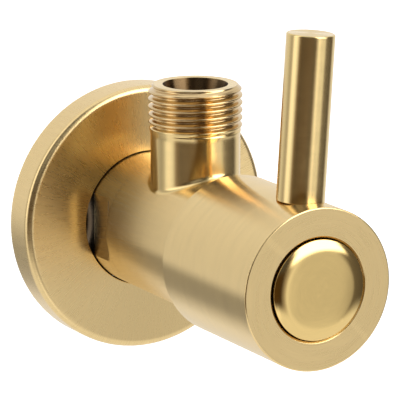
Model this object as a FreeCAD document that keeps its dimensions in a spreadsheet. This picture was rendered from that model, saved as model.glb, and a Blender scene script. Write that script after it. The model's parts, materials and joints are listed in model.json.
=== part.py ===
import FreeCAD, Part
import math
import os
import Sketcher

# Quarter-turn angle stop valve with a lever handle, in millimetres.
# World frame: +X right, +Y into the wall, +Z up. The origin is on the inlet axis, in the wall plane.
# Turned pieces are drawn with their axis along their own Z and laid down by their Placement, so that a
# piece's own Z is its depth, measured out from the wall, and its own Y is up.

SIZES = {
    # valve body and its inlet, a G1/2 male thread that enters the wall
    "inlet_tip": -12.0,
    "inlet_thread_radius": 10.4775,
    "inlet_bore_radius": 6.2,
    "relief_rear": 0.2,
    "relief_radius": 9.3,
    "barrel_rear": 2.0,
    "barrel_front": 41.5,
    "barrel_radius": 12.2,
    "flats_front": 11.6,
    "flats_cutter_radius": 3.0,
    "flats_half_width": 10.75,
    # outlet neck, a G3/8 male thread with a seat for a 10 mm pipe
    "neck_depth": 24.8,
    "neck_radius": 7.92,
    "neck_foot": 6.0,
    "neck_top": 27.9,
    "outlet_thread_radius": 8.331,
    "outlet_thread_start": 19.0,
    "outlet_chamfer": 0.9,
    "outlet_bore_radius": 5.1,
    "pipe_stop": 12.4,
    "water_way_radius": 4.2,
    "outlet_seat_radius": 5.75,
    "outlet_seat_depth": 3.0,
    # cavity for the ceramic cartridge
    "seat_depth": 17.0,
    "cavity_radius": 9.1,
    "bonnet_thread_rear": 31.0,
    "bonnet_thread_radius": 9.5,
    "bonnet_seal_step": 40.4,
    "bonnet_seal_radius": 10.6,
    # ring under the rear end of the handle sleeve
    "glide_groove_rear": 39.0,
    "glide_groove_front": 40.2,
    "glide_groove_radius": 11.2,
    # wall flange, its grip ring and the inlet washer
    "flange_radius": 24.3,
    "flange_depth": 6.7,
    "flange_sheet": 0.8,
    "flange_edge": 1.3,
    "flange_hole_radius": 12.55,
    "flange_collar_rear": 2.6,
    "flange_collar_radius": 14.0,
    "grip_ring_rear": 3.0,
    "washer_rear": 0.4,
    "washer_bore_radius": 10.55,
    "washer_radius": 12.0,
    # cartridge
    "skirt_rear": 18.4,
    "skirt_front": 28.1,
    "skirt_radius": 8.95,
    "skirt_bore_radius": 8.0,
    "bonnet_lead": 0.6,
    "bonnet_land_radius": 9.2,
    "hex_rear": 41.6,
    "hex_front": 45.6,
    "hex_across_flats": 19.0,
    "bonnet_neck_radius": 6.4,
    "bonnet_neck_front": 49.6,
    "collar_bore_radius": 5.9,
    "stem_radius": 4.2,
    "window_rear": 22.6,
    "window_front": 27.4,
    "window_half_width": 3.0,
    "window_angle": 45.0,
    "key_half_width": 1.5,
    "key_radius": 8.7,
    "disc_seal_bore": 6.4,
    "disc_seal_front": 19.0,
    "fixed_disc_front": 22.0,
    "moving_disc_front": 25.0,
    "moving_disc_radius": 7.7,
    "port_radius": 2.1,
    "port_offset": 4.1,
    "carrier_foot": 24.2,
    "carrier_front": 28.0,
    "carrier_radius": 6.8,
    "carrier_half_width": 1.9,
    "stop_lug_radius": 7.8,
    "stop_lug_half_width": 1.3,
    "stop_rib_radius": 7.15,
    "stop_rib_half_width": 0.5,
    "stop_rib_rear": 25.2,
    "stop_rib_closed": 74.5,
    "stop_rib_open": -164.5,
    "tongue_rear": 26.0,
    "tongue_half_width": 1.0,
    "tongue_half_length": 4.5,
    "spindle_collar_radius": 5.6,
    "spindle_collar_front": 30.4,
    "first_ring_depth": 34.0,
    "second_ring_depth": 39.0,
    "ring_groove_half_width": 0.95,
    "ring_groove_radius": 2.95,
    "clip_rear": 49.8,
    "clip_front": 50.6,
    "clip_groove_radius": 3.45,
    "clip_radius": 6.0,
    "clip_gap_half_width": 2.6,
    "spline_rear": 50.9,
    "spline_front": 57.0,
    "spline_core_radius": 3.55,
    "spline_tip_radius": 3.95,
    "spline_half_width": 0.28,
    "spline_count": 20,
    "screw_radius": 1.95,
    "screw_thread_radius": 2.0,
    "screw_end": 47.5,
    "screw_hole_end": 46.0,
    "spindle_ring_section": 0.63,
    "spindle_ring_radius": 3.6,
    "bonnet_ring_section": 0.55,
    "bonnet_ring_radius": 9.9,
    "bonnet_ring_depth": 41.0,
    # handle sleeve, its adapter, screw and cap
    "sleeve_rear": 38.4,
    "sleeve_front": 67.0,
    "sleeve_radius": 14.1,
    "sleeve_edge": 0.25,
    "sleeve_mouth_radius": 12.45,
    "sleeve_mouth_front": 41.9,
    "sleeve_bore_radius": 11.6,
    "web_rear": 52.0,
    "web_front": 58.0,
    "web_bore_radius": 6.45,
    "recess_radius": 8.95,
    "recess_edge_radius": 9.25,
    "adapter_rear": 51.0,
    "adapter_radius": 6.4,
    "adapter_flange_radius": 8.0,
    "adapter_flange_front": 59.2,
    "screw_clear_radius": 2.2,
    "screw_head_radius": 3.5,
    "screw_head_front": 61.8,
    "screw_socket_flats": 2.5,
    "screw_socket_depth": 1.4,
    "cap_rear": 62.6,
    "cap_radius": 8.7,
    "cap_skirt_radius": 8.3,
    "cap_bore_radius": 6.6,
    "cap_rim_rear": 65.2,
    "cap_rim_front": 67.15,
    "cap_crown_radius": 5.0,
    "cap_crown_depth": 68.07,
    "cap_top": 68.33,
    "cap_under": 65.4,
    "cap_shoulder_curve": 13.7,
    "cap_groove_rear": 63.2,
    "cap_groove_front": 64.6,
    "cap_groove_radius": 7.68,
    "cap_ring_section": 0.6,
    "cap_ring_radius": 8.3,
    "cap_ring_depth": 63.9,
    # lever rod on its stud
    "lever_depth": 59.5,
    "lever_radius": 4.14,
    "lever_foot": 13.8,
    "lever_top": 42.3,
    "lever_edge": 0.3,
    "lever_seat_radius": 4.3,
    "stud_radius": 2.48,
    "stud_hole_radius": 2.5,
    "stud_hole_foot": 9.3,
    "stud_hole_top": 22.0,
    "stud_foot": 9.5,
    "stud_top": 21.5,
    "stud_socket_flats": 2.5,
    "stud_socket_depth": 2.0,
    "lever_lean": 3.7,
    # clearances
    "thread_gap": 0.05,
    "running_gap": 0.05,
    "lap_gap": 0.02,
}

UPRIGHT = FreeCAD.Rotation(FreeCAD.Vector(1, 0, 0), 90)
LEAN = FreeCAD.Rotation(FreeCAD.Vector(0, 1, 0), SIZES["lever_lean"])
FIXED = FreeCAD.Placement(FreeCAD.Vector(), UPRIGHT)
TURNING = FreeCAD.Placement(FreeCAD.Vector(), LEAN * UPRIGHT)

doc = FreeCAD.newDocument("angle_stop_valve")
sheet = doc.addObject("Spreadsheet::Sheet", "dims")
for row, (alias, size) in enumerate(SIZES.items(), start=1):
    sheet.set("A%d" % row, alias)
    sheet.set("B%d" % row, str(size))
    sheet.setAlias("B%d" % row, alias)
doc.recompute()


def number(text):
    """Value of a sum such as 'web_front - lap_gap'."""
    total, sign = 0.0, 1
    for word in text.split():
        if word in "+-":
            sign = 1 if word == "+" else -1
        else:
            total += sign * (SIZES[word] if word in SIZES else float(word))
    return total


def formula(text):
    """The same sum written with the sheet's cells."""
    return " ".join("dims." + word if word in SIZES else word for word in text.split())


def add_sketch(body, name, role="XZ_Plane", lift="0", turn="0"):
    """Sketch on one of the body's origin planes, lifted along its normal and turned in its plane."""
    sketch = body.newObject("Sketcher::SketchObject", name)
    plane = [f for f in body.Origin.OriginFeatures if f.Role == role][0]
    sketch.AttachmentSupport = [(plane, "")]
    sketch.MapMode = "FlatFace"
    offset = FreeCAD.Vector(0, 0, number(lift))
    spin = FreeCAD.Rotation(FreeCAD.Vector(0, 0, 1), number(turn))
    sketch.AttachmentOffset = FreeCAD.Placement(offset, spin)
    sketch.setExpression("AttachmentOffset.Base.z", formula(lift))
    return sketch


def hold(sketch, kind, geometry, point, text):
    """Ties one coordinate of a point to the sheet."""
    value = number(text)
    index = sketch.addConstraint(Sketcher.Constraint(kind, -1, 1, geometry, point, value))
    sketch.setExpression("Constraints[%d]" % index, formula(text))


def arc_between(start, end, radius):
    """Anticlockwise arc from start to end. With no radius its centre is on the vertical axis."""
    middle = (start + end) * 0.5
    chord = end - start
    left = FreeCAD.Vector(-chord.y, chord.x, 0).normalize()
    rise = math.sqrt(radius**2 - (chord.Length / 2) ** 2) if radius else -middle.x / left.x
    centre = middle + left * rise
    crown = centre - left * (start - centre).Length
    return Part.Arc(start, crown, end)


def outline(sketch, points, arcs=None):
    """Closed outline through points, each a pair of sums. arcs maps a side's number to its radius,
    or to on_axis where its centre is on the vertical axis."""
    arcs = arcs or {}
    corners = [FreeCAD.Vector(number(x), number(y), 0) for x, y in points]
    for i, start in enumerate(corners):
        end = corners[(i + 1) % len(corners)]
        if i in arcs:
            sketch.addGeometry(arc_between(start, end, number(arcs[i]) if arcs[i] in SIZES else None))
        else:
            sketch.addGeometry(Part.LineSegment(start, end))
    for i in range(len(points)):
        sketch.addConstraint(Sketcher.Constraint("Coincident", i, 2, (i + 1) % len(points), 1))
    for i, (x, y) in enumerate(points):
        for kind, text, axis in (("DistanceX", x, -2), ("DistanceY", y, -1)):
            if number(text):
                hold(sketch, kind, i, 1, text)
            else:
                sketch.addConstraint(Sketcher.Constraint("PointOnObject", i, 1, axis))
    for i, name in arcs.items():
        if name in SIZES:
            index = sketch.addConstraint(Sketcher.Constraint("Radius", i, number(name)))
            sketch.setExpression("Constraints[%d]" % index, formula(name))
        else:
            sketch.addConstraint(Sketcher.Constraint("PointOnObject", i, 3, -2))


def rectangle(sketch, left, right, low, high):
    outline(sketch, [(left, low), (right, low), (right, high), (left, high)])


def circle(sketch, x, y, radius):
    centre = FreeCAD.Vector(number(x), number(y), 0)
    index = sketch.addGeometry(Part.Circle(centre, FreeCAD.Vector(0, 0, 1), number(radius)))
    hold(sketch, "DistanceX", index, 3, x)
    hold(sketch, "DistanceY", index, 3, y)
    size = sketch.addConstraint(Sketcher.Constraint("Radius", index, number(radius)))
    sketch.setExpression("Constraints[%d]" % size, formula(radius))


def hexagon(sketch, flats, y="0"):
    """Hexagon about (0, y), from its size across the flats."""
    radius = number(flats) / math.sqrt(3)
    centre = FreeCAD.Vector(0, number(y), 0)
    corners = [centre + FreeCAD.Vector(radius * math.cos(k * math.pi / 3),
                                       radius * math.sin(k * math.pi / 3), 0) for k in range(6)]
    for i in range(6):
        sketch.addGeometry(Part.LineSegment(corners[i], corners[(i + 1) % 6]))
    for i in range(6):
        sketch.addConstraint(Sketcher.Constraint("Coincident", i, 2, (i + 1) % 6, 1))
    ring = sketch.addGeometry(Part.Circle(centre, FreeCAD.Vector(0, 0, 1), radius), True)
    size = sketch.addConstraint(Sketcher.Constraint("Radius", ring, radius))
    sketch.setExpression("Constraints[%d]" % size, "dims.%s / sqrt(3)" % flats)
    for i in range(6):
        sketch.addConstraint(Sketcher.Constraint("PointOnObject", i, 1, ring))
    for i in range(5):
        sketch.addConstraint(Sketcher.Constraint("Equal", i, i + 1))
    sketch.addConstraint(Sketcher.Constraint("PointOnObject", ring, 3, -2))
    sketch.addConstraint(Sketcher.Constraint("Horizontal", ring, 3, 0, 1))
    if number(y):
        hold(sketch, "DistanceY", ring, 3, y)
    else:
        sketch.addConstraint(Sketcher.Constraint("PointOnObject", ring, 3, -1))


def feature(body, kind, name, sketch, **settings):
    """Sketch-based feature. A cut that removes nothing, or a pad that adds nothing, is an error."""
    doc.recompute()
    before = body.Shape.Volume if body.Tip else 0.0
    made = body.newObject("PartDesign::" + kind, name)
    made.Profile = sketch
    for key, setting in settings.items():
        setattr(made, key, setting)
    sketch.Visibility = False
    doc.recompute()
    change = body.Shape.Volume - before
    wanted = -1 if kind in ("Pocket", "Groove") else 1
    if change * wanted <= 1e-3:
        raise RuntimeError("%s in %s changed the volume by %.3f" % (name, body.Label, change))
    return made


def turn_profile(body, name, points, kind="Revolution", arcs=None, role="XZ_Plane", lift="0"):
    """Full turn of an outline about its sketch's vertical axis."""
    sketch = add_sketch(body, name + "_outline", role, lift)
    outline(sketch, points, arcs)
    return feature(body, kind, name, sketch, ReferenceAxis=(sketch, ["V_Axis"]), Angle=360)


def extrude(body, kind, name, sketch, length, backwards=False):
    """Pad along the sketch's normal or Pocket against it, unless backwards."""
    made = feature(body, kind, name, sketch, Length=number(length), Reversed=backwards)
    made.setExpression("Length", formula(length))
    return made


def new_body(name, placement=FIXED):
    body = doc.addObject("PartDesign::Body", name)
    body.Label = name
    body.Placement = placement
    pieces.append(body)
    return body


def plain_ring(name, inner, outer, rear, front, placement=FIXED):
    body = new_body(name, placement)
    turn_profile(body, "ring", [(inner, rear), (outer, rear), (outer, front), (inner, front)])
    return body


def o_ring(name, radius, section, depth):
    ring = doc.addObject("Part::Torus", name)
    ring.Label = name
    ring.setExpression("Radius1", formula(radius))
    ring.setExpression("Radius2", formula(section))
    ring.Placement = FIXED
    ring.setExpression("Placement.Base.y", "-dims." + depth)
    pieces.append(ring)
    return ring


def polar(body, name, original, count):
    """Repeats a feature about the body's own Z."""
    pattern = body.newObject("PartDesign::PolarPattern", name)
    pattern.Originals = [original]
    pattern.Axis = (original.Profile[0], ["N_Axis"])
    pattern.Angle = 360
    pattern.setExpression("Occurrences", formula(count))
    body.Tip = pattern
    doc.recompute()


pieces = []


def make_valve_body():
    """Barrel with the inlet thread behind it, the outlet neck on top and the cartridge's cavity."""
    body = new_body("valve_body")
    turn_profile(body, "barrel", [
        ("0", "inlet_tip"),
        ("inlet_thread_radius", "inlet_tip"),
        ("inlet_thread_radius", "relief_rear"),
        ("relief_radius", "relief_rear"),
        ("relief_radius", "barrel_rear"),
        ("barrel_radius", "barrel_rear"),
        ("barrel_radius", "barrel_front"),
        ("0", "barrel_front"),
    ])
    turn_profile(body, "outlet_neck", [
        ("0", "neck_foot"),
        ("neck_radius", "neck_foot"),
        ("neck_radius", "outlet_thread_start"),
        ("outlet_thread_radius", "outlet_thread_start"),
        ("outlet_thread_radius", "neck_top - outlet_chamfer"),
        ("outlet_thread_radius - outlet_chamfer", "neck_top"),
        ("0", "neck_top"),
    ], role="XY_Plane", lift="neck_depth")
    turn_profile(body, "cavity", [
        ("0", "inlet_tip"),
        ("inlet_bore_radius", "inlet_tip"),
        ("inlet_bore_radius", "seat_depth"),
        ("cavity_radius", "seat_depth"),
        ("cavity_radius", "bonnet_thread_rear"),
        ("bonnet_thread_radius", "bonnet_thread_rear"),
        ("bonnet_thread_radius", "bonnet_seal_step"),
        ("bonnet_seal_radius", "bonnet_seal_step"),
        ("bonnet_seal_radius", "barrel_front"),
        ("0", "barrel_front"),
    ], kind="Groove")
    turn_profile(body, "outlet_bore", [
        ("0", "neck_foot"),
        ("water_way_radius", "neck_foot"),
        ("water_way_radius", "pipe_stop"),
        ("outlet_bore_radius", "pipe_stop"),
        ("outlet_bore_radius", "neck_top - outlet_seat_depth"),
        ("outlet_seat_radius", "neck_top"),
        ("0", "neck_top"),
    ], kind="Groove", role="XY_Plane", lift="neck_depth")
    turn_profile(body, "glide_groove", [
        ("glide_groove_radius", "glide_groove_rear"),
        ("barrel_radius + 1", "glide_groove_rear"),
        ("barrel_radius + 1", "glide_groove_front"),
        ("glide_groove_radius", "glide_groove_front"),
    ], kind="Groove")
    # each flat runs out in the curve of its cutter
    for side, sign in (("right", ""), ("left", "- ")):
        flat, outside = sign + "flats_half_width", sign + "flats_half_width " + (sign or "+ ") + "flats_cutter_radius"
        points = [
            (outside, "barrel_rear"),
            (outside, "flats_front + flats_cutter_radius"),
            (flat, "flats_front"),
            (flat, "barrel_rear"),
        ]
        if side == "left":
            points.reverse()
        sketch = add_sketch(body, "wrench_flat_outline_" + side, lift="barrel_radius")
        outline(sketch, points, {1: "flats_cutter_radius"})
        extrude(body, "Pocket", "wrench_flat_" + side, sketch, "barrel_radius + barrel_radius")


def make_wall_flange():
    """Shallow cup of sheet brass, open to the wall, with a collar behind its face for the grip ring."""
    body = new_body("wall_flange")
    turn_profile(body, "cup", [
        ("flange_hole_radius", "flange_depth - flange_sheet"),
        ("flange_collar_radius", "flange_depth - flange_sheet"),
        ("flange_collar_radius", "flange_collar_rear"),
        ("flange_collar_radius + flange_sheet", "flange_collar_rear"),
        ("flange_collar_radius + flange_sheet", "flange_depth - flange_sheet"),
        ("flange_radius - flange_sheet", "flange_depth - flange_sheet"),
        ("flange_radius - flange_sheet", "0"),
        ("flange_radius", "0"),
        ("flange_radius", "flange_depth - flange_edge"),
        ("flange_radius - flange_edge", "flange_depth"),
        ("flange_hole_radius", "flange_depth"),
    ], arcs={8: "flange_edge"})


def make_fixed_rings():
    """Rings that stay on the valve body or in the flange."""
    plain_ring("flange_grip_ring", "barrel_radius + running_gap", "flange_collar_radius - running_gap",
               "grip_ring_rear", "flange_depth - flange_sheet - running_gap")
    plain_ring("inlet_seal_washer", "washer_bore_radius", "washer_radius",
               "washer_rear", "barrel_rear - lap_gap")
    plain_ring("sleeve_glide_ring", "glide_groove_radius + running_gap", "sleeve_mouth_radius - running_gap",
               "glide_groove_rear + running_gap", "glide_groove_front - running_gap")
    plain_ring("disc_seal_ring", "disc_seal_bore", "skirt_bore_radius - running_gap - running_gap",
               "seat_depth", "disc_seal_front")
    o_ring("bonnet_o_ring", "bonnet_ring_radius", "bonnet_ring_section", "bonnet_ring_depth")


def make_cartridge_housing():
    """Screwed bonnet: skirt with two windows round the discs, thread, hexagon and spindle bearing."""
    body = new_body("cartridge_housing")
    turn_profile(body, "shell", [
        ("skirt_bore_radius", "skirt_rear"),
        ("skirt_radius", "skirt_rear"),
        ("skirt_radius", "bonnet_thread_rear"),
        ("bonnet_thread_radius - thread_gap", "bonnet_thread_rear + bonnet_lead"),
        ("bonnet_thread_radius - thread_gap", "bonnet_seal_step"),
        ("bonnet_land_radius", "bonnet_seal_step"),
        ("bonnet_land_radius", "hex_rear"),
        ("bonnet_neck_radius", "hex_rear"),
        ("bonnet_neck_radius", "bonnet_neck_front"),
        ("stem_radius + running_gap", "bonnet_neck_front"),
        ("stem_radius + running_gap", "bonnet_thread_rear"),
        ("collar_bore_radius", "bonnet_thread_rear"),
        ("collar_bore_radius", "skirt_front"),
        ("skirt_bore_radius", "skirt_front"),
    ])
    hexagon_face = add_sketch(body, "hexagon_outline", "XY_Plane", "hex_rear")
    hexagon(hexagon_face, "hex_across_flats")
    circle(hexagon_face, "0", "0", "stem_radius + running_gap")
    extrude(body, "Pad", "hexagon", hexagon_face, "hex_front - hex_rear")
    window = add_sketch(body, "window_outline", "XY_Plane", "window_rear", "window_angle")
    rectangle(window, "- window_half_width", "window_half_width", "- cavity_radius", "cavity_radius")
    extrude(body, "Pocket", "windows", window, "window_front - window_rear", backwards=True)
    keyway = add_sketch(body, "keyway_outline", "XY_Plane", "skirt_rear")
    rectangle(keyway, "- cavity_radius", "cavity_radius",
              "- key_half_width - running_gap", "key_half_width + running_gap")
    extrude(body, "Pocket", "keyways", keyway, "fixed_disc_front - skirt_rear + running_gap", backwards=True)
    for name, angle in (("stop_open", "stop_rib_open"), ("stop_closed", "stop_rib_closed")):
        rib = add_sketch(body, name + "_outline", "XY_Plane", "stop_rib_rear", angle)
        rectangle(rib, "stop_rib_radius", "skirt_radius - running_gap",
                  "- stop_rib_half_width", "stop_rib_half_width")
        extrude(body, "Pad", name, rib, "skirt_front - stop_rib_rear + running_gap")


def port_pair(body, rear, length):
    """Two round ports through a disc, above and below its centre."""
    ports = add_sketch(body, "ports_outline", "XY_Plane", rear)
    circle(ports, "0", "port_offset", "port_radius")
    circle(ports, "0", "- port_offset", "port_radius")
    extrude(body, "Pocket", "ports", ports, length, backwards=True)


def make_discs():
    """The two ceramic discs and the carrier that turns the moving one."""
    body = new_body("fixed_disc")
    turn_profile(body, "disc", [
        ("0", "disc_seal_front"),
        ("skirt_bore_radius - running_gap", "disc_seal_front"),
        ("skirt_bore_radius - running_gap", "fixed_disc_front"),
        ("0", "fixed_disc_front"),
    ])
    keys = add_sketch(body, "keys_outline", "XY_Plane", "disc_seal_front")
    rectangle(keys, "- key_radius", "key_radius", "- key_half_width", "key_half_width")
    extrude(body, "Pad", "keys", keys, "fixed_disc_front - disc_seal_front")
    port_pair(body, "disc_seal_front", "fixed_disc_front - disc_seal_front")

    body = new_body("moving_disc", TURNING)
    turn_profile(body, "disc", [
        ("0", "fixed_disc_front + lap_gap"),
        ("moving_disc_radius", "fixed_disc_front + lap_gap"),
        ("moving_disc_radius", "moving_disc_front"),
        ("0", "moving_disc_front"),
    ])
    port_pair(body, "fixed_disc_front + lap_gap", "moving_disc_front - fixed_disc_front")
    slot = add_sketch(body, "slot_outline", "XY_Plane", "carrier_foot")
    rectangle(slot, "- moving_disc_radius - 1", "moving_disc_radius + 1",
              "- carrier_half_width", "carrier_half_width")
    extrude(body, "Pocket", "slot", slot, "moving_disc_front - carrier_foot", backwards=True)

    body = new_body("disc_carrier", TURNING)
    bar = add_sketch(body, "bar_outline", "XY_Plane", "carrier_foot + lap_gap")
    rectangle(bar, "- carrier_radius", "carrier_radius",
              "- carrier_half_width + running_gap", "carrier_half_width - running_gap")
    extrude(body, "Pad", "bar", bar, "carrier_front - carrier_foot - lap_gap")
    lug = add_sketch(body, "lug_outline", "XY_Plane", "stop_rib_rear + lap_gap")
    rectangle(lug, "- stop_lug_radius", "- carrier_radius + 1",
              "- stop_lug_half_width", "stop_lug_half_width")
    extrude(body, "Pad", "stop_lug", lug, "carrier_front - stop_rib_rear - lap_gap")
    groove = add_sketch(body, "tongue_slot_outline", "XY_Plane", "tongue_rear - running_gap")
    rectangle(groove, "- tongue_half_length - running_gap", "tongue_half_length + running_gap",
              "- tongue_half_width - running_gap", "tongue_half_width + running_gap")
    extrude(body, "Pocket", "tongue_slot", groove, "carrier_front - tongue_rear + running_gap",
            backwards=True)


def groove_steps(depth):
    """Corners of one O-ring groove in the spindle's stem."""
    rear = depth + " - ring_groove_half_width"
    front = depth + " + ring_groove_half_width"
    return [("stem_radius", rear), ("ring_groove_radius", rear),
            ("ring_groove_radius", front), ("stem_radius", front)]


def make_spindle():
    """Stem with a drive tongue, a collar, two ring grooves, a clip groove and a splined end."""
    body = new_body("spindle", TURNING)
    turn_profile(body, "stem", [
        ("0", "skirt_front"),
        ("spindle_collar_radius", "skirt_front"),
        ("spindle_collar_radius", "spindle_collar_front"),
        ("stem_radius", "spindle_collar_front"),
        *groove_steps("first_ring_depth"),
        *groove_steps("second_ring_depth"),
        ("stem_radius", "clip_rear"),
        ("clip_groove_radius", "clip_rear"),
        ("clip_groove_radius", "clip_front"),
        ("stem_radius", "clip_front"),
        ("stem_radius", "spline_rear"),
        ("spline_core_radius", "spline_rear"),
        ("spline_core_radius", "spline_front"),
        ("0", "spline_front"),
    ])
    tongue = add_sketch(body, "tongue_outline", "XY_Plane", "tongue_rear")
    rectangle(tongue, "- tongue_half_length", "tongue_half_length",
              "- tongue_half_width", "tongue_half_width")
    extrude(body, "Pad", "tongue", tongue, "skirt_front - tongue_rear")
    tapped = add_sketch(body, "tapped_outline", "XY_Plane", "screw_hole_end")
    circle(tapped, "0", "0", "screw_thread_radius")
    extrude(body, "Pocket", "tapped_hole", tapped, "spline_front - screw_hole_end", backwards=True)
    tooth = add_sketch(body, "tooth_outline", "XY_Plane", "spline_rear")
    rectangle(tooth, "spline_core_radius - spline_half_width", "spline_tip_radius",
              "- spline_half_width", "spline_half_width")
    first = extrude(body, "Pad", "tooth", tooth, "spline_front - spline_rear")
    polar(body, "teeth", first, "spline_count")


def make_spindle_fittings():
    """Seals, thrust washer and retaining clip on the spindle."""
    o_ring("spindle_o_ring_inner", "spindle_ring_radius", "spindle_ring_section", "first_ring_depth")
    o_ring("spindle_o_ring_outer", "spindle_ring_radius", "spindle_ring_section", "second_ring_depth")
    plain_ring("thrust_washer", "stem_radius + running_gap", "spindle_collar_radius",
               "spindle_collar_front + lap_gap", "bonnet_thread_rear - lap_gap", TURNING)
    clip = plain_ring("spindle_clip", "clip_groove_radius + lap_gap", "clip_radius",
                      "clip_rear + lap_gap", "clip_front - lap_gap", TURNING)
    gap = add_sketch(clip, "gap_outline", "XY_Plane", "clip_rear")
    rectangle(gap, "0", "clip_radius + 1", "- clip_gap_half_width", "clip_gap_half_width")
    extrude(clip, "Pocket", "gap", gap, "clip_front - clip_rear", backwards=True)


def make_handle_sleeve():
    """Sleeve that turns over the front of the barrel, with an inner web and a front recess."""
    body = new_body("handle_sleeve", TURNING)
    turn_profile(body, "shell", [
        ("sleeve_mouth_radius", "sleeve_rear"),
        ("sleeve_radius", "sleeve_rear"),
        ("sleeve_radius", "sleeve_front - sleeve_edge"),
        ("sleeve_radius - sleeve_edge", "sleeve_front"),
        ("recess_edge_radius", "sleeve_front"),
        ("recess_radius", "sleeve_front + recess_radius - recess_edge_radius"),
        ("recess_radius", "web_front"),
        ("web_bore_radius", "web_front"),
        ("web_bore_radius", "web_rear"),
        ("sleeve_bore_radius", "web_rear"),
        ("sleeve_bore_radius", "sleeve_mouth_front"),
        ("sleeve_mouth_radius", "sleeve_mouth_front"),
    ])
    seat = add_sketch(body, "lever_seat_outline", "XZ_Plane", "- lever_foot")
    circle(seat, "0", "lever_depth", "lever_seat_radius")
    extrude(body, "Pocket", "lever_seat", seat, "sleeve_radius - lever_foot + 1")
    hole = add_sketch(body, "stud_hole_outline", "XZ_Plane", "- stud_hole_foot")
    circle(hole, "0", "lever_depth", "stud_hole_radius")
    extrude(body, "Pocket", "stud_hole", hole, "sleeve_radius - stud_hole_foot")


def make_handle_inside():
    """Splined adapter pressed into the sleeve's web, and the screw that holds it on the spindle."""
    body = new_body("handle_adapter", TURNING)
    turn_profile(body, "bush", [
        ("spline_core_radius + running_gap", "adapter_rear"),
        ("adapter_radius", "adapter_rear"),
        ("adapter_radius", "web_front"),
        ("adapter_flange_radius", "web_front"),
        ("adapter_flange_radius", "adapter_flange_front"),
        ("screw_clear_radius", "adapter_flange_front"),
        ("screw_clear_radius", "spline_front + lap_gap"),
        ("spline_core_radius + running_gap", "spline_front + lap_gap"),
    ])
    slot = add_sketch(body, "tooth_slot_outline", "XY_Plane", "adapter_rear")
    rectangle(slot, "spline_core_radius - spline_half_width", "spline_tip_radius + running_gap",
              "- spline_half_width - running_gap", "spline_half_width + running_gap")
    first = extrude(body, "Pocket", "tooth_slot", slot, "spline_front - adapter_rear + lap_gap",
                    backwards=True)
    polar(body, "tooth_slots", first, "spline_count")

    body = new_body("handle_screw", TURNING)
    turn_profile(body, "screw", [
        ("0", "screw_end"),
        ("screw_radius", "screw_end"),
        ("screw_radius", "adapter_flange_front"),
        ("screw_head_radius", "adapter_flange_front"),
        ("screw_head_radius", "screw_head_front"),
        ("0", "screw_head_front"),
    ])
    socket = add_sketch(body, "socket_outline", "XY_Plane", "screw_head_front")
    hexagon(socket, "screw_socket_flats")
    extrude(body, "Pocket", "socket", socket, "screw_socket_depth")


def make_front_cap():
    """Domed cap that snaps into the sleeve's recess on an O-ring."""
    body = new_body("front_cap", TURNING)
    turn_profile(body, "dome", [
        ("0", "cap_under"),
        ("cap_bore_radius", "cap_under"),
        ("cap_bore_radius", "cap_rear"),
        ("cap_skirt_radius", "cap_rear"),
        ("cap_skirt_radius", "cap_groove_rear"),
        ("cap_groove_radius", "cap_groove_rear"),
        ("cap_groove_radius", "cap_groove_front"),
        ("cap_skirt_radius", "cap_groove_front"),
        ("cap_skirt_radius", "cap_rim_rear"),
        ("cap_radius", "cap_rim_rear"),
        ("cap_radius", "cap_rim_front"),
        ("cap_crown_radius", "cap_crown_depth"),
        ("0", "cap_top"),
    ], arcs={10: "cap_shoulder_curve", 11: "on_axis"})
    o_ring("cap_o_ring", "cap_ring_radius", "cap_ring_section", "cap_ring_depth")


def make_lever():
    """Straight rod on the sleeve, and the socket stud that holds it."""
    body = new_body("lever_rod", TURNING)
    turn_profile(body, "rod", [
        ("stud_hole_radius", "lever_foot"),
        ("lever_radius", "lever_foot"),
        ("lever_radius", "lever_top - lever_edge"),
        ("lever_radius - lever_edge", "lever_top"),
        ("0", "lever_top"),
        ("0", "stud_hole_top"),
        ("stud_hole_radius", "stud_hole_top"),
    ], role="XY_Plane", lift="lever_depth")

    body = new_body("lever_stud", TURNING)
    turn_profile(body, "stud", [
        ("0", "stud_foot"),
        ("stud_radius", "stud_foot"),
        ("stud_radius", "stud_top"),
        ("0", "stud_top"),
    ], role="XY_Plane", lift="lever_depth")
    socket = add_sketch(body, "socket_outline", "XZ_Plane", "- stud_foot")
    hexagon(socket, "stud_socket_flats", "lever_depth")
    extrude(body, "Pocket", "socket", socket, "stud_socket_depth")


make_valve_body()
make_wall_flange()
make_fixed_rings()
make_cartridge_housing()
make_discs()
make_spindle()
make_spindle_fittings()
make_handle_sleeve()
make_handle_inside()
make_front_cap()
make_lever()
doc.recompute()

for item in doc.Objects:
    if "Invalid" in item.State or "Error" in item.State:
        raise RuntimeError("%s failed: %s" % (item.Label, item.State))
os.makedirs("parts", exist_ok=True)
for piece in pieces:
    shape = piece.Shape
    if shape.isNull() or not shape.isValid():
        raise RuntimeError("%s has no valid shape" % piece.Label)
    shape.exportStep(os.path.join("parts", piece.Label + ".step"))
    print("%-22s solids %d  volume %9.2f mm3" % (piece.Label, len(shape.Solids), shape.Volume))
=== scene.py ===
import json
import math

import bmesh
import bpy
from mathutils import Matrix, Vector


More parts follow.
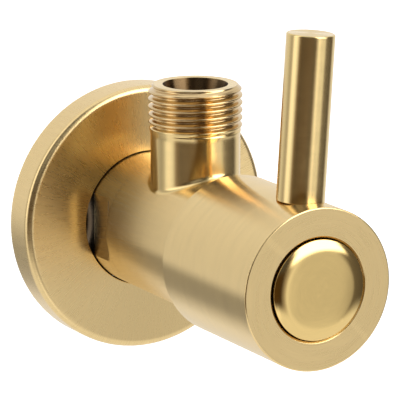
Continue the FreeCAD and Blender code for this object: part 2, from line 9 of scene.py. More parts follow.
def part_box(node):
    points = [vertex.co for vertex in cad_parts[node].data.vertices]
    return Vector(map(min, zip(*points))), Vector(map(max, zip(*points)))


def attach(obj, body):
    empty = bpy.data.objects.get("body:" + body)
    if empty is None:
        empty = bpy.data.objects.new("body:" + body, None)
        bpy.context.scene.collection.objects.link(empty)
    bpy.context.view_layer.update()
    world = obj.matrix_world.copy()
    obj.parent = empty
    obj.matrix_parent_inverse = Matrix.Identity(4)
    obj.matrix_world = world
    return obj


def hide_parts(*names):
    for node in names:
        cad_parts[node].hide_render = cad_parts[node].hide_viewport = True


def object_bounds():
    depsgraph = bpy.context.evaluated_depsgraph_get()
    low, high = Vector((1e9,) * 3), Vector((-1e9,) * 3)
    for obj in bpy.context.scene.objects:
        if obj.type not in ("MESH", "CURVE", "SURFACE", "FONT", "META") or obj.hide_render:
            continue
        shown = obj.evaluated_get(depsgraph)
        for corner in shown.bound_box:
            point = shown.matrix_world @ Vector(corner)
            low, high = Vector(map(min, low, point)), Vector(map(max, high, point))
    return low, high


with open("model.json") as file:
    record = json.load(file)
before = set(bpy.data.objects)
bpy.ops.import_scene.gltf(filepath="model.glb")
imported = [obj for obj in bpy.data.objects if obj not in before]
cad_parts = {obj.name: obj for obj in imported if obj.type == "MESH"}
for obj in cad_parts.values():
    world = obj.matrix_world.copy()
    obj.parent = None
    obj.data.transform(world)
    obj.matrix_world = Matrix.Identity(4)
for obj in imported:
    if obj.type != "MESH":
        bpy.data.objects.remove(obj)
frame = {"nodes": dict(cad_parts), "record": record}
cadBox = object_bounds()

mm = 0.001
record = frame["record"]
mounts = {mount["name"]: mount for mount in record["mounts"]}
nodes = frame["nodes"]
origin, right, inward, up = (0.0, 0.0, 0.0), (1.0, 0.0, 0.0), (0.0, 1.0, 0.0), (0.0, 0.0, 1.0)


def boxOf(node):
    # low and high corner of a node's solid, in millimetres
    return [tuple(round(value / mm, 4) for value in corner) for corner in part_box(node)]


bodyLow, bodyHigh = boxOf("valve_body")
flangeLow, flangeHigh = boxOf("wall_flange")
sleeveLow, sleeveHigh = boxOf("handle_sleeve")
capLow, capHigh = boxOf("front_cap")


camera = {
    "aim": (-0.0018, -0.0297, 0.0081),
    "azimuth": -29.2,
    "elevation": 13.08,
    "distance": 0.6147,
    "lens": 315.2,
    "sensor": 36.0,
    "nearest": 0.01,
    "farthest": 30.0,
}

studio = {
    "floorDrop": 0.075,      # how far the floor lies below the valve
    "floorHalf": 9.0,
    "floorGlow": 0.42,
    "floorTones": ((0.93, 0.93, 0.93, 1.0), (0.95, 0.95, 0.95, 1.0)),
    "floorGrain": 4.0,
    "floorRoughness": 0.8,
    "backdrop": 1.0,
    # light at eye level: azimuth in degrees with 0 in front of the handle, brightness, warmth
    "ring": [(-180, 0.86, 0), (-148, 0.86, 0), (-126, 0.46, 0), (-112, 0.86, 0), (-90, 0.94, 0),
             (-80, 0.22, 0.8), (-70, 0.08, 1.2), (-30, 0.09, 1.5), (-6, 0.06, 1.3), (4, 0.44, 0.2),
             (12, 1.0, 0), (22, 0.70, 0), (40, 0.70, 0), (50, 0.16, 0.3), (88, 0.10, 0.3),
             (104, 0.80, 0), (150, 0.95, 0), (180, 0.86, 0)],
    "greenLoss": 0.32,       # how much green and blue a warmth of 1 takes away
    "blueLoss": 0.6,
    # soft boxes and dark gaps: azimuth from and to, elevation from and to, brightness
    "boxes": [(-180, -112, -32, -13, 0.36), (-78, -6, 8, 78, 0.08), (-60, -28, 20, 46, 0.40),
              (4, 56, 8, 62, 3.8), (-114, -94, -8, 62, 1.6), (-40, -14, -58, -29, 1.3)],
    "boxEdge": 5.0,
    "above": 1.0,            # brightness overhead, and the elevation where it takes over
    "aboveFrom": 48.0,
    "aboveBlend": 15.0,
    "below": 0.95,
    "belowFrom": -20.0,
    "belowBlend": 12.0,
}


class Wires:
    # short names for the nodes that several trees share
    def __init__(self, tree):
        self.tree = tree

    def node(self, name, **settings):
        made = self.tree.nodes.new(name)
        for key, value in settings.items():
            setattr(made, key, value)
        return made

    def plug(self, socket, value):
        if isinstance(value, bpy.types.NodeSocket):
            self.tree.links.new(value, socket)
        elif value is not None:
            socket.default_value = value

    def maths(self, operation, first, second=None, third=None):
        made = self.node("ShaderNodeMath", operation=operation)
        for socket, value in zip(made.inputs, (first, second, third)):
            self.plug(socket, value)
        return made.outputs[0]

    def vector(self, operation, first, second=None, scale=None):
        made = self.node("ShaderNodeVectorMath", operation=operation)
        self.plug(made.inputs[0], first)
        self.plug(made.inputs[1], second)
        if scale is not None:
            self.plug(made.inputs["Scale"], scale)
        return made.outputs["Value" if operation in ("DOT_PRODUCT", "LENGTH") else "Vector"]

    def span(self, value, low, high, toLow=0.0, toHigh=1.0):
        made = self.node("ShaderNodeMapRange", interpolation_type="SMOOTHSTEP")
        for socket, item in zip(made.inputs, (value, low, high, toLow, toHigh)):
            self.plug(socket, item)
        return made.outputs[0]

    def blend(self, factor, first, second):
        made = self.node("ShaderNodeMix", data_type="RGBA")
        for slot, value in ((0, factor), (6, first), (7, second)):     # 6 and 7 are the colour sockets
            self.plug(made.inputs[slot], value)
        return made.outputs[2]


def makeCamera():
    azimuth = math.radians(camera["azimuth"])
    elevation = math.radians(camera["elevation"])
    back = Vector((math.sin(azimuth) * math.cos(elevation), -math.cos(azimuth) * math.cos(elevation),
                   math.sin(elevation)))
    data = bpy.data.cameras.new("viewCamera")
    data.lens = camera["lens"]
    data.sensor_width = camera["sensor"]
    data.clip_start = camera["nearest"]
    data.clip_end = camera["farthest"]
    eye = bpy.data.objects.new("viewCamera", data)
    bpy.context.scene.collection.objects.link(eye)
    eye.location = Vector(camera["aim"]) + back * camera["distance"]
    eye.rotation_mode = "QUATERNION"
    eye.rotation_quaternion = (-back).to_track_quat("-Z", "Y")
    bpy.context.scene.camera = eye
    print("camera set")


def grey(level):
    return (level, level, level, 1.0)


def makeWorld():
    world = bpy.data.worlds.new("studioWorld")
    bpy.context.scene.world = world
    world.use_nodes = True
    tree = world.node_tree
    tree.nodes.clear()
    wires = Wires(tree)
    direction = wires.node("ShaderNodeTexCoord").outputs["Generated"]
    parts = wires.node("ShaderNodeSeparateXYZ")
    tree.links.new(direction, parts.inputs[0])
    x, y, z = parts.outputs
    azimuth = wires.maths("ARCTAN2", x, wires.maths("MULTIPLY", y, -1.0))
    share = wires.maths("MULTIPLY_ADD", azimuth, 0.5 / math.pi, 0.5)
    ring = wires.node("ShaderNodeValToRGB")
    tree.links.new(share, ring.inputs[0])
    stops = ring.color_ramp
    stops.interpolation = "LINEAR"
    while len(stops.elements) > 1:
        stops.elements.remove(stops.elements[-1])
    for number, (angle, level, warmth) in enumerate(studio["ring"]):
        place = 0.5 + angle / 360
        stop = stops.elements[0] if number == 0 else stops.elements.new(place)
        stop.position = place
        green = level * (1 - studio["greenLoss"] * warmth)
        blue = level * (1 - studio["blueLoss"] * warmth)
        stop.color = (level, green, blue, 1.0)
    degrees = wires.maths("MULTIPLY", azimuth, 180 / math.pi)
    height = wires.maths("MULTIPLY", wires.maths("ARCSINE", z), 180 / math.pi)
    high, low = studio["aboveFrom"], studio["belowFrom"]
    overhead = wires.span(height, high - studio["aboveBlend"], high + studio["aboveBlend"])
    underfoot = wires.span(height, low, low - studio["belowBlend"])
    level = wires.blend(overhead, ring.outputs[0], grey(studio["above"]))
    level = wires.blend(underfoot, level, grey(studio["below"]))
    edge = studio["boxEdge"]
    for left, right, lower, upper, bright in studio["boxes"]:
        inside = wires.maths("MULTIPLY", wires.span(degrees, left - edge, left + edge),
                           wires.span(degrees, right + edge, right - edge))
        inside = wires.maths("MULTIPLY", inside, wires.span(height, lower - edge, lower + edge))
        inside = wires.maths("MULTIPLY", inside, wires.span(height, upper + edge, upper - edge))
        level = wires.blend(inside, level, grey(bright))
    shine = wires.node("ShaderNodeBackground")
    tree.links.new(level, shine.inputs[0])
    plain = wires.node("ShaderNodeBackground")
    plain.inputs[0].default_value = grey(1.0)
    plain.inputs[1].default_value = studio["backdrop"]
    seen = wires.node("ShaderNodeLightPath").outputs["Is Camera Ray"]
    join = wires.node("ShaderNodeMixShader")
    tree.links.new(seen, join.inputs[0])
    tree.links.new(shine.outputs[0], join.inputs[1])
    tree.links.new(plain.outputs[0], join.inputs[2])
    out = wires.node("ShaderNodeOutputWorld")
    tree.links.new(join.outputs[0], out.inputs[0])
    print("studio light set")


def makeFloor():
    height = cadBox[0].z - studio["floorDrop"]
    half = studio["floorHalf"]
    mesh = bpy.data.meshes.new("paleFloor")
    corners = [(-half, -half, height), (half, -half, height), (half, half, height), (-half, half, height)]
    mesh.from_pydata(corners, [], [(0, 1, 2, 3)])
    floor = bpy.data.objects.new("paleFloor", mesh)
    bpy.context.scene.collection.objects.link(floor)
    material = bpy.data.materials.new("paleFloorPaint")
    material.use_nodes = True
    wires = Wires(material.node_tree)
    paint = material.node_tree.nodes["Principled BSDF"]
    place = wires.node("ShaderNodeTexCoord").outputs["Object"]
    grain = wires.node("ShaderNodeTexNoise")
    grain.inputs["Scale"].default_value = studio["floorGrain"]
    wires.plug(grain.inputs["Vector"], place)
    wires.plug(paint.inputs["Base Color"], wires.blend(grain.outputs[0], *studio["floorTones"]))
    paint.inputs["Roughness"].default_value = studio["floorRoughness"]
    paint.inputs["Emission Color"].default_value = grey(1.0)
    paint.inputs["Emission Strength"].default_value = studio["floorGlow"]
    clear = wires.node("ShaderNodeBsdfTransparent")
    under = wires.node("ShaderNodeNewGeometry").outputs["Backfacing"]
    join = wires.node("ShaderNodeMixShader")
    wires.plug(join.inputs[0], under)
    wires.plug(join.inputs[1], paint.outputs[0])
    wires.plug(join.inputs[2], clear.outputs[0])
    wires.plug(material.node_tree.nodes["Material Output"].inputs[0], join.outputs[0])
    mesh.materials.append(material)
    floor.visible_glossy = False     # the metal reflects the studio ring instead
    print("floor laid")


noiseRange = (0.3, 0.7)      # where a noise texture's values mostly lie


def axisPlace(wires, point, axis):
    # a surface point round an axis: height along it, distance from it, direction outwards, offset outwards
    place = wires.node("ShaderNodeTexCoord").outputs["Object"]
    offset = wires.vector("SUBTRACT", place, point)
    height = wires.vector("DOT_PRODUCT", offset, axis)
    outward = wires.vector("SUBTRACT", offset, wires.vector("SCALE", axis, scale=height))
    return height, wires.vector("LENGTH", outward), wires.vector("NORMALIZE", outward), outward


def turnedGrain(wires, point, axis, along, around, detail=2.0):
    # streaks that run round the axis, on cylinders and on end faces alike
    height, distance, outward, _ = axisPlace(wires, point, axis)
    spread = wires.vector("SCALE", outward, scale=around)
    rise = wires.vector("SCALE", axis, scale=wires.maths("MULTIPLY", height, along))
    spread = wires.vector("ADD", spread, rise)
    noise = wires.node("ShaderNodeTexNoise", noise_dimensions="4D")
    noise.inputs["Scale"].default_value = 1.0
    noise.inputs["Detail"].default_value = detail
    wires.plug(noise.inputs["Vector"], spread)
    wires.plug(noise.inputs["W"], wires.maths("MULTIPLY", distance, along))
    return noise.outputs[0]


def radialGrain(wires, point, axis, lines, reach):
    # short strokes that run outwards from the axis
    height, distance, outward, _ = axisPlace(wires, point, axis)
    noise = wires.node("ShaderNodeTexNoise", noise_dimensions="4D")
    noise.inputs["Scale"].default_value = 1.0
    noise.inputs["Detail"].default_value = 2.0
    wires.plug(noise.inputs["Vector"], wires.vector("SCALE", outward, scale=lines))
    wires.plug(noise.inputs["W"], wires.maths("MULTIPLY", wires.maths("SUBTRACT", distance, height), reach))
    return noise.outputs[0]


def turnedTangent(wires, point, axis):
    # direction round the axis, turned with the part
    offset = axisPlace(wires, point, axis)[3]
    tangent = wires.vector("CROSS_PRODUCT", axis, offset)
    turn = wires.node("ShaderNodeVectorTransform", vector_type="VECTOR",
                      convert_from="OBJECT", convert_to="WORLD")
    wires.plug(turn.inputs[0], tangent)
    return turn.outputs[0]


def shade(colour, factor):
    return tuple(min(1.0, c * factor) for c in colour[:3]) + (1.0,)


def turnedMetal(name, look, point, axis):
    material = bpy.data.materials.new(name)
    material.use_nodes = True
    wires = Wires(material.node_tree)
    metal = material.node_tree.nodes["Principled BSDF"]
    if look["radial"]:
        fine = radialGrain(wires, point, axis, look["strokes"], look["strokeReach"])
        broad = radialGrain(wires, point, axis, look["broadStrokes"], look["broadReach"])
    else:
        fine = turnedGrain(wires, point, axis, look["fineLines"], look["arc"])
        broad = turnedGrain(wires, point, axis, look["broadLines"], look["arc"] * 0.5, detail=3.0)
    tone = wires.maths("MULTIPLY_ADD", broad, 0.5, wires.maths("MULTIPLY", fine, 0.5))
    colour = wires.blend(wires.span(tone, *noiseRange), shade(look["colour"], 1 - look["toneSpread"]),
                         shade(look["colour"], 1 + look["toneSpread"]))
    edge = wires.node("ShaderNodeNewGeometry").outputs["Pointiness"]
    worn = wires.span(edge, *look["wornRange"], 0.0, look["edgeWear"])
    wires.plug(metal.inputs["Base Color"], wires.blend(worn, colour, shade(look["colour"], look["wornTone"])))
    metal.inputs["Metallic"].default_value = 1.0
    rough = wires.span(tone, *noiseRange, look["roughness"] - look["roughSpread"],
                       look["roughness"] + look["roughSpread"])
    wires.plug(metal.inputs["Roughness"], rough)
    metal.inputs["Anisotropic"].default_value = look["anisotropic"]
    metal.inputs["Anisotropic Rotation"].default_value = 0.0 if look["radial"] else 0.25
    wires.plug(metal.inputs["Tangent"], turnedTangent(wires, point, axis))
    bump = wires.node("ShaderNodeBump")
    bump.inputs["Strength"].default_value = look["bump"]
    bump.inputs["Distance"].default_value = look["bumpDepth"]
    wires.plug(bump.inputs["Height"], fine)
    wires.plug(metal.inputs["Normal"], bump.outputs[0])
    return material


satinLook = {
    "colour": (0.86, 0.645, 0.315),
    "radial": False,
    "roughness": 0.22,
    "roughSpread": 0.015,
    "anisotropic": 0.9,
    "fineLines": 5200.0,     # streaks per metre along the axis
    "broadLines": 900.0,
    "arc": 3.0,              # how often a streak changes on its way round
    "strokes": 150.0,        # radial strokes, fine and broad
    "strokeReach": 520.0,
    "broadStrokes": 45.0,
    "broadReach": 260.0,
    "toneSpread": 0.04,
    "edgeWear": 0.5,         # lighter on sharp edges
    "wornRange": (0.53, 0.62),
    "wornTone": 1.12,
    "bump": 0.03,
    "bumpDepth": 0.00002,
}
faceLook = dict(satinLook, roughness=0.28, anisotropic=0.1)
flangeLook = dict(satinLook, radial=True, roughness=0.28, anisotropic=0.7, bump=0.02)
polishedLook = dict(satinLook, colour=(0.87, 0.65, 0.30), roughness=0.22, roughSpread=0.012, anisotropic=0.9,
                    toneSpread=0.02, bump=0.015)
capLook = dict(satinLook, colour=(0.84, 0.61, 0.25), roughness=0.12, roughSpread=0.01, anisotropic=0.1,
               toneSpread=0.03, bump=0.02)
threadLook = dict(polishedLook, colour=(0.73, 0.53, 0.27), roughness=0.2, anisotropic=0.6)
brassLook = dict(satinLook, colour=(0.80, 0.60, 0.30), roughness=0.28, toneSpread=0.08, bump=0.2, arc=6.0)
# dark brown for the bores, and painted shade on the barrel inside the flange
boreAndShadeLook = dict(brassLook, colour=(0.18, 0.115, 0.055))
steelLook = dict(satinLook, colour=(0.60, 0.60, 0.61), roughness=0.24, toneSpread=0.06, bump=0.15, arc=6.0)


def mottled(name, colour, roughness, scale, spread, bump, bumpDepth, **constants):
    # a plain material with a faint mottle; constants are sockets named with _ for a space
    material = bpy.data.materials.new(name)
    material.use_nodes = True
    wires = Wires(material.node_tree)
    skin = material.node_tree.nodes["Principled BSDF"]
    place = wires.node("ShaderNodeTexCoord").outputs["Object"]
    noise = wires.node("ShaderNodeTexNoise")
    noise.inputs["Scale"].default_value = scale
    noise.inputs["Detail"].default_value = 4.0
    wires.plug(noise.inputs["Vector"], place)
    tone = wires.span(noise.outputs[0], *noiseRange)
    tone = wires.blend(tone, shade(colour, 1 - spread), shade(colour, 1 + spread))
    wires.plug(skin.inputs["Base Color"], tone)
    rough = wires.span(noise.outputs[0], *noiseRange, roughness * 0.85, roughness * 1.15)
    wires.plug(skin.inputs["Roughness"], rough)
    for socket, value in constants.items():
        skin.inputs[socket.replace("_", " ")].default_value = value
    relief = wires.node("ShaderNodeBump")
    relief.inputs["Strength"].default_value = bump
    relief.inputs["Distance"].default_value = bumpDepth
    wires.plug(relief.inputs["Height"], noise.outputs[0])
    wires.plug(skin.inputs["Normal"], relief.outputs[0])
    return material


class Shell:
    # points and faces of one piece, gathered loop by loop, in millimetres
    def __init__(self):
        self.points = []
        self.faces = []
        self.tags = []

    def loop(self, points):
        first = len(self.points)
        self.points.extend(points)
        return list(range(first, len(self.points)))

    def skin(self, first, second, tag=0, skip=()):
        count = len(first)
        for i in range(count):
            if i in skip:
                continue
            j = (i + 1) % count
            self.faces.append((first[i], first[j], second[j], second[i]))
            self.tags.append(tag)

    def chain(self, loops, tag=0, closed=False):
        for first, second in zip(loops, loops[1:]):
            self.skin(first, second, tag)
        if closed:
            self.skin(loops[-1], loops[0], tag)

    def fan(self, loop, centre):
        middle = self.loop([centre])[0]
        for i, point in enumerate(loop):
            self.faces.append((point, loop[(i + 1) % len(loop)], middle))
            self.tags.append(0)

    def build(self, name, materials, sharp=20.0, turn=None):
        mesh = bpy.data.meshes.new(name)
        mesh.from_pydata([Vector(p) * mm for p in self.points], [], self.faces)
        mesh.polygons.foreach_set("material_index", self.tags)
        for material in materials:
            mesh.materials.append(material)
        work = bmesh.new()
        work.from_mesh(mesh)
        bmesh.ops.remove_doubles(work, verts=work.verts, dist=1e-6)
        bmesh.ops.dissolve_degenerate(work, dist=1e-7, edges=work.edges)
        bmesh.ops.recalc_face_normals(work, faces=work.faces)
        loose = sum(1 for edge in work.edges if len(edge.link_faces) != 2)
        work.to_mesh(mesh)
        work.free()
        if turn is not None:
            mesh.transform(turn)
        mesh.shade_smooth()
        mesh.set_sharp_from_angle(angle=math.radians(sharp))
        piece = bpy.data.objects.new(name, mesh)
        bpy.context.scene.collection.objects.link(piece)
        print(name, "faces", len(mesh.polygons), "open edges", loose)
        return piece


arcStep = 13.0       # degrees between the points of a rounded corner
edgeHold = 0.04      # the extra row that keeps a flat face flat beside a rounded corner


def softLine(corners, closed=False):
    # corners are (radius, depth, rounding): each rounded corner gets an arc with a held edge on either side
    line = []
    count = len(corners)
    for number, (radius, depth, rounding) in enumerate(corners):
        here = Vector((radius, depth))
        if rounding == 0 or (not closed and number in (0, count - 1)):
            line.append(here)
            continue
        toBefore = (Vector(corners[number - 1][:2]) - here).normalized()
        toAfter = (Vector(corners[(number + 1) % count][:2]) - here).normalized()
        half = toBefore.angle(toAfter) / 2
        reach = rounding / math.tan(half)
        centre = here + (toBefore + toAfter).normalized() * (rounding / math.sin(half))
        start = here + toBefore * reach - centre
        end = here + toAfter * reach - centre
        steps = max(3, math.ceil(math.degrees(math.pi - 2 * half) / arcStep))
        line.append(here + toBefore * (reach + edgeHold))
        for step in range(steps + 1):
            line.append(centre + start.slerp(end, step / steps) * rounding)
        line.append(here + toAfter * (reach + edgeHold))
    return line


def aroundY(radius, depth, turn):
    # turn 0 is straight up and grows towards +X
    return Vector((radius * math.sin(turn), -depth, radius * math.cos(turn)))


def circleRow(shell, radius, depth, columns, clip=None):
    # one row of a turned surface, cut flat at either side where a clip is given
    points = [aroundY(radius, depth, 2 * math.pi * i / columns) for i in range(columns)]
    if clip is not None:
        for point in points:
            point.x = max(-clip, min(clip, point.x))
    return shell.loop(points)


def turnedPiece(shell, line, place, columns, closed):
    loops = []
    turns = [2 * math.pi * i / columns for i in range(columns)]
    ends = []
    for radius, depth in line:
        if radius < 1e-6:
            ends.append((len(loops), place(0.0, depth, 0.0)))
            continue
        loops.append(shell.loop([place(radius, depth, turn) for turn in turns]))
    shell.chain(loops, closed=closed)
    for number, centre in ends:
        shell.fan(loops[0] if number == 0 else loops[-1], centre)


def windowLoop(rows, half):
    # outline of the window left in a tube's grid: rows of point numbers, columns from -half to half
    first, last = rows[0], rows[-1]
    outline = [first[i] for i in range(-half, half + 1)]
    outline += [row[half] for row in rows[1:-1]]
    outline += [last[i] for i in range(half, -half - 1, -1)]
    outline += [row[-half] for row in reversed(rows[1:-1])]
    return outline


def windowPatch(shell, outline, radius, target, rings, tag=0):
    # fills the space on a tube of this radius between a window's outline and the target, points (turn, depth)
    start = []
    for number in outline:
        point = shell.points[number]
        start.append((math.atan2(point.x, point.z), -point.y))
    loops = [outline]
    for ring in range(1, rings + 1):
        share = (ring / rings) ** 0.8      # the rings lie closer together near the target
        points = []
        for (turn, depth), (turnTo, depthTo) in zip(start, target):
            points.append(aroundY(radius, depth + (depthTo - depth) * share, turn + (turnTo - turn) * share))
        loops.append(shell.loop(points))
    shell.chain(loops, tag)
    return loops[-1]


threadFlank = ((0.10, 0.02), (0.24, 0.115), (0.76, 0.885), (0.90, 0.98))     # rounded crest and root
threadWall = 1.3      # surfaces deeper than this many thread depths aren't cut


def threadTree(name, material):
    # cuts a rounded helical thread into a surface above the thread's start, and paints it above the run-out
    tree = bpy.data.node_groups.new(name, "GeometryNodeTree")
    face = tree.interface
    face.new_socket(name="Geometry", in_out="INPUT", socket_type="NodeSocketGeometry")
    inputs = {}
    for label in ("Major Radius", "Depth", "Pitch", "Start", "Run Out"):
        inputs[label] = face.new_socket(name=label, in_out="INPUT", socket_type="NodeSocketFloat").identifier
    for label in ("Axis Point", "Axis", "Zero Direction"):
        inputs[label] = face.new_socket(name=label, in_out="INPUT", socket_type="NodeSocketVector").identifier
    face.new_socket(name="Geometry", in_out="OUTPUT", socket_type="NodeSocketGeometry")
    wires = Wires(tree)
    given = wires.node("NodeGroupInput").outputs
    axis = given["Axis"]
    place = wires.node("GeometryNodeInputPosition").outputs[0]
    offset = wires.vector("SUBTRACT", place, given["Axis Point"])
    height = wires.vector("DOT_PRODUCT", offset, axis)
    outward = wires.vector("SUBTRACT", offset, wires.vector("SCALE", axis, scale=height))
    distance = wires.vector("LENGTH", outward)
    side = wires.vector("CROSS_PRODUCT", axis, given["Zero Direction"])
    angle = wires.maths("ARCTAN2", wires.vector("DOT_PRODUCT", outward, side),
                      wires.vector("DOT_PRODUCT", outward, given["Zero Direction"]))
    turns = wires.maths("SUBTRACT", wires.maths("DIVIDE", height, given["Pitch"]),
                      wires.maths("DIVIDE", angle, 2 * math.pi))
    wave = wires.maths("ABSOLUTE", wires.maths("SUBTRACT", wires.maths("FRACT", turns), 0.5))
    wave = wires.maths("MULTIPLY", wave, 2.0)
    flank = wires.node("ShaderNodeFloatCurve")
    wires.plug(flank.inputs["Value"], wave)
    curve = flank.mapping.curves[0]
    curve.points[0].location = (0.0, 0.0)
    curve.points[1].location = (1.0, 1.0)
    for at, value in threadFlank:
        curve.points.new(at, value)
    flank.mapping.update()
    fade = wires.span(wires.maths("SUBTRACT", height, given["Start"]), 0.0, given["Run Out"])
    cut = wires.maths("MULTIPLY", wires.maths("MULTIPLY", flank.outputs[0], given["Depth"]), fade)
    reach = wires.maths("MINIMUM", distance, wires.maths("SUBTRACT", given["Major Radius"], cut))
    moved = wires.vector("SCALE", outward, scale=wires.maths("DIVIDE", reach, distance))
    moved = wires.vector("ADD", moved, wires.vector("SCALE", axis, scale=height))
    moved = wires.vector("ADD", moved, given["Axis Point"])
    above = wires.node("FunctionNodeCompare", data_type="FLOAT", operation="GREATER_THAN")
    wires.plug(above.inputs[0], height)
    wires.plug(above.inputs[1], given["Start"])
    outer = wires.node("FunctionNodeCompare", data_type="FLOAT", operation="GREATER_THAN")
    wires.plug(outer.inputs[0], distance)
    inside = wires.maths("MULTIPLY", given["Depth"], threadWall)
    wires.plug(outer.inputs[1], wires.maths("SUBTRACT", given["Major Radius"], inside))
    both = wires.node("FunctionNodeBooleanMath", operation="AND")
    wires.plug(both.inputs[0], above.outputs[0])
    wires.plug(both.inputs[1], outer.outputs[0])
    full = wires.node("FunctionNodeCompare", data_type="FLOAT", operation="GREATER_THAN")
    wires.plug(full.inputs[0], height)
    wires.plug(full.inputs[1], wires.maths("ADD", given["Start"], given["Run Out"]))
    painted = wires.node("FunctionNodeBooleanMath", operation="AND")
    wires.plug(painted.inputs[0], both.outputs[0])
    wires.plug(painted.inputs[1], full.outputs[0])
    shift = wires.node("GeometryNodeSetPosition")
    wires.plug(shift.inputs["Geometry"], given["Geometry"])
    wires.plug(shift.inputs["Selection"], both.outputs[0])
    wires.plug(shift.inputs["Position"], moved)
    real = wires.node("GeometryNodeRealizeInstances")
    wires.plug(real.inputs[0], shift.outputs[0])
    paint = wires.node("GeometryNodeSetMaterial")
    wires.plug(paint.inputs["Geometry"], real.outputs[0])
    wires.plug(paint.inputs["Selection"], painted.outputs[0])
    paint.inputs["Material"].default_value = material
    out = wires.node("NodeGroupOutput")
    wires.plug(out.inputs[0], paint.outputs[0])
    return tree, inputs


def applyTree(piece, tree, inputs, values):
    step = piece.modifiers.new(tree.name, "NODES")
    step.node_group = tree
    for label, value in values.items():
        step[inputs[label]] = value
    bpy.context.view_layer.update()
    done = bpy.data.meshes.new_from_object(piece.evaluated_get(bpy.context.evaluated_depsgraph_get()))
    piece.modifiers.clear()
    piece.data = done
    done.name = piece.name


bodySize = {
    "barrelRadius": bodyHigh[0], "barrelRear": 2.0, "barrelFront": -bodyLow[1],
    "rearEdge": 0.15, "frontEdge": 0.2,
    "flatHalf": 10.75, "flatFront": 11.6, "flatCutter": 3.0, "flatRows": 10,
    "paintedShadeFront": 6.6,      # the barrel is painted dark from here back, inside the flange: painted shade
    "reliefRadius": 9.3, "reliefRear": 0.2,
    "inletTip": -bodyHigh[1], "inletBore": 6.2, "inletChamfer": 0.9, "boreEdge": 0.3,
    "neckRadius": 7.92, "neckFillet": 1.1, "filletRows": 8,
    "threadStart": 19.0, "threadGrowth": 2.0, "neckTop": bodyHigh[2], "rimChamfer": 0.9, "chamferRows": 10,
    "footHolds": (0.1, 0.4), "startHolds": (0.35, 0.3), "firstThreadRow": 0.12,
    "seatRadius": 5.75, "seatDepth": 3.0, "seatEdge": 0.1, "seatLip": 0.03, "pipeStop": 12.4, "waterWay": 4.2,
    "cavityRadius": 9.1, "cavityRear": 17.0, "bonnetRear": 31.0, "bonnetRadius": 9.5,
    "sealStep": 40.4, "sealRadius": 10.6, "sealEdge": 0.15,
    "grooveRear": 39.0, "grooveFront": 40.2, "grooveRadius": 11.2,
    "hold": 0.05, "wideHold": 0.06,      # extra rows that keep a face flat beside an edge
    "columns": 192, "windowHalf": 30, "windowRows": 24, "windowStep": 0.9, "innerStep": 0.5,
    "outerRings": 8, "innerRings": 5,
}
# paint 3 is the dark bore colour: the bores, and painted shade on the barrel inside the flange
bodyPaint = {"barrel": 0, "neck": 1, "thread": 2, "bore": 3}
inletThread = {"pitch": 1.814, "depth": 1.162, "rowsPerPitch": 12, "runOut": 0.3}
outletThread = {"pitch": 1.337, "depth": 0.856, "rowsPerPitch": 16, "runOut": 1.6}

inletRadius = mounts["inlet_thread"]["dims"]["r_mm"]
outletRadius = mounts["outlet_thread"]["dims"]["r_mm"]
pipeRadius = mounts["outlet_pipe_bore"]["dims"]["r_mm"]
neckDepth = -mounts["outlet_thread"]["pos_m"][1] / mm


def windowDepths(step):
    # rows of the window that the neck or its water way fills, from rear to front
    count = bodySize["windowRows"]
    return [neckDepth - step * count / 2 + number * step for number in range(count + 1)]


def barrelProfile():
    # (radius, depth, clip, paint) from the inlet's tip over the outside and back through the inside
    size = bodySize
    profile = []

    def add(paint, *places, clip=None):
        for radius, depth in places:
            profile.append((radius, depth, clip, bodyPaint[paint]))

    tip, chamfer, relief = size["inletTip"], size["inletChamfer"], size["reliefRear"]
    add("bore", (size["inletBore"] + size["boreEdge"], tip))
    add("thread", (inletRadius - chamfer, tip), (inletRadius, tip + chamfer))
    stepSize = inletThread["pitch"] / inletThread["rowsPerPitch"]
    depth = tip + chamfer + stepSize
    while depth < relief - stepSize / 2:
        add("thread", (inletRadius, depth))
        depth += stepSize
    radius, rear, front = size["barrelRadius"], size["barrelRear"], size["barrelFront"]
    add("thread", (inletRadius, relief), (size["reliefRadius"], relief), (size["reliefRadius"], rear))

    # barrel with its two flats: each runs out in the curve of its cutter
    flat, step, shadeFront = size["flatHalf"], size["flatFront"], size["paintedShadeFront"]
    edge, hold, cutter = size["rearEdge"], size["hold"], size["flatCutter"]
    add("barrel", (radius - edge, rear), clip=flat - edge)
    add("barrel", (radius, rear + edge), (radius, rear + edge + hold), clip=flat)
    # painted shade: the barrel inside the flange gets the dark bore colour, back to its rear edge
    add("bore", (radius, shadeFront - hold), clip=flat)
    add("barrel", (radius, shadeFront), (radius, step - size["wideHold"]), (radius, step), clip=flat)
    runOut = math.sqrt(cutter ** 2 - (cutter - radius + flat) ** 2)
    for number in range(1, size["flatRows"] + 1):
        reach = runOut * number / size["flatRows"]
        add("barrel", (radius, step + reach), clip=flat + cutter - math.sqrt(cutter ** 2 - reach ** 2))
    outerWindow = len(profile)
    add("barrel", *((radius, depth) for depth in windowDepths(size["windowStep"])))
    groove, grooveRear, grooveFront = size["grooveRadius"], size["grooveRear"], size["grooveFront"]
    add("barrel", (radius, grooveRear), (groove, grooveRear), (groove, grooveFront), (radius, grooveFront),
        (radius, front - size["frontEdge"]), (radius - size["frontEdge"], front))

    # bonnet seat, thread and cavity, back to the inlet bore
    seal, bonnet, cavity = size["sealRadius"], size["bonnetRadius"], size["cavityRadius"]
    add("bore", (seal + size["sealEdge"], front), (seal, front - size["sealEdge"]), (seal, size["sealStep"]),
        (bonnet, size["sealStep"]), (bonnet, size["bonnetRear"]), (cavity, size["bonnetRear"]))
    innerWindow = len(profile)
    add("bore", *((cavity, depth) for depth in reversed(windowDepths(size["innerStep"]))))
    add("bore", (cavity, size["cavityRear"]), (size["inletBore"], size["cavityRear"]),
        (size["inletBore"], tip + size["boreEdge"]))
    return profile, outerWindow, innerWindow


def neckPoint(radius, height, angle):
    return Vector((radius * math.cos(angle), -neckDepth - radius * math.sin(angle), height))


def neckRing(shell, radius, height, angles):
    return shell.loop([neckPoint(radius, height, angle) for angle in angles])


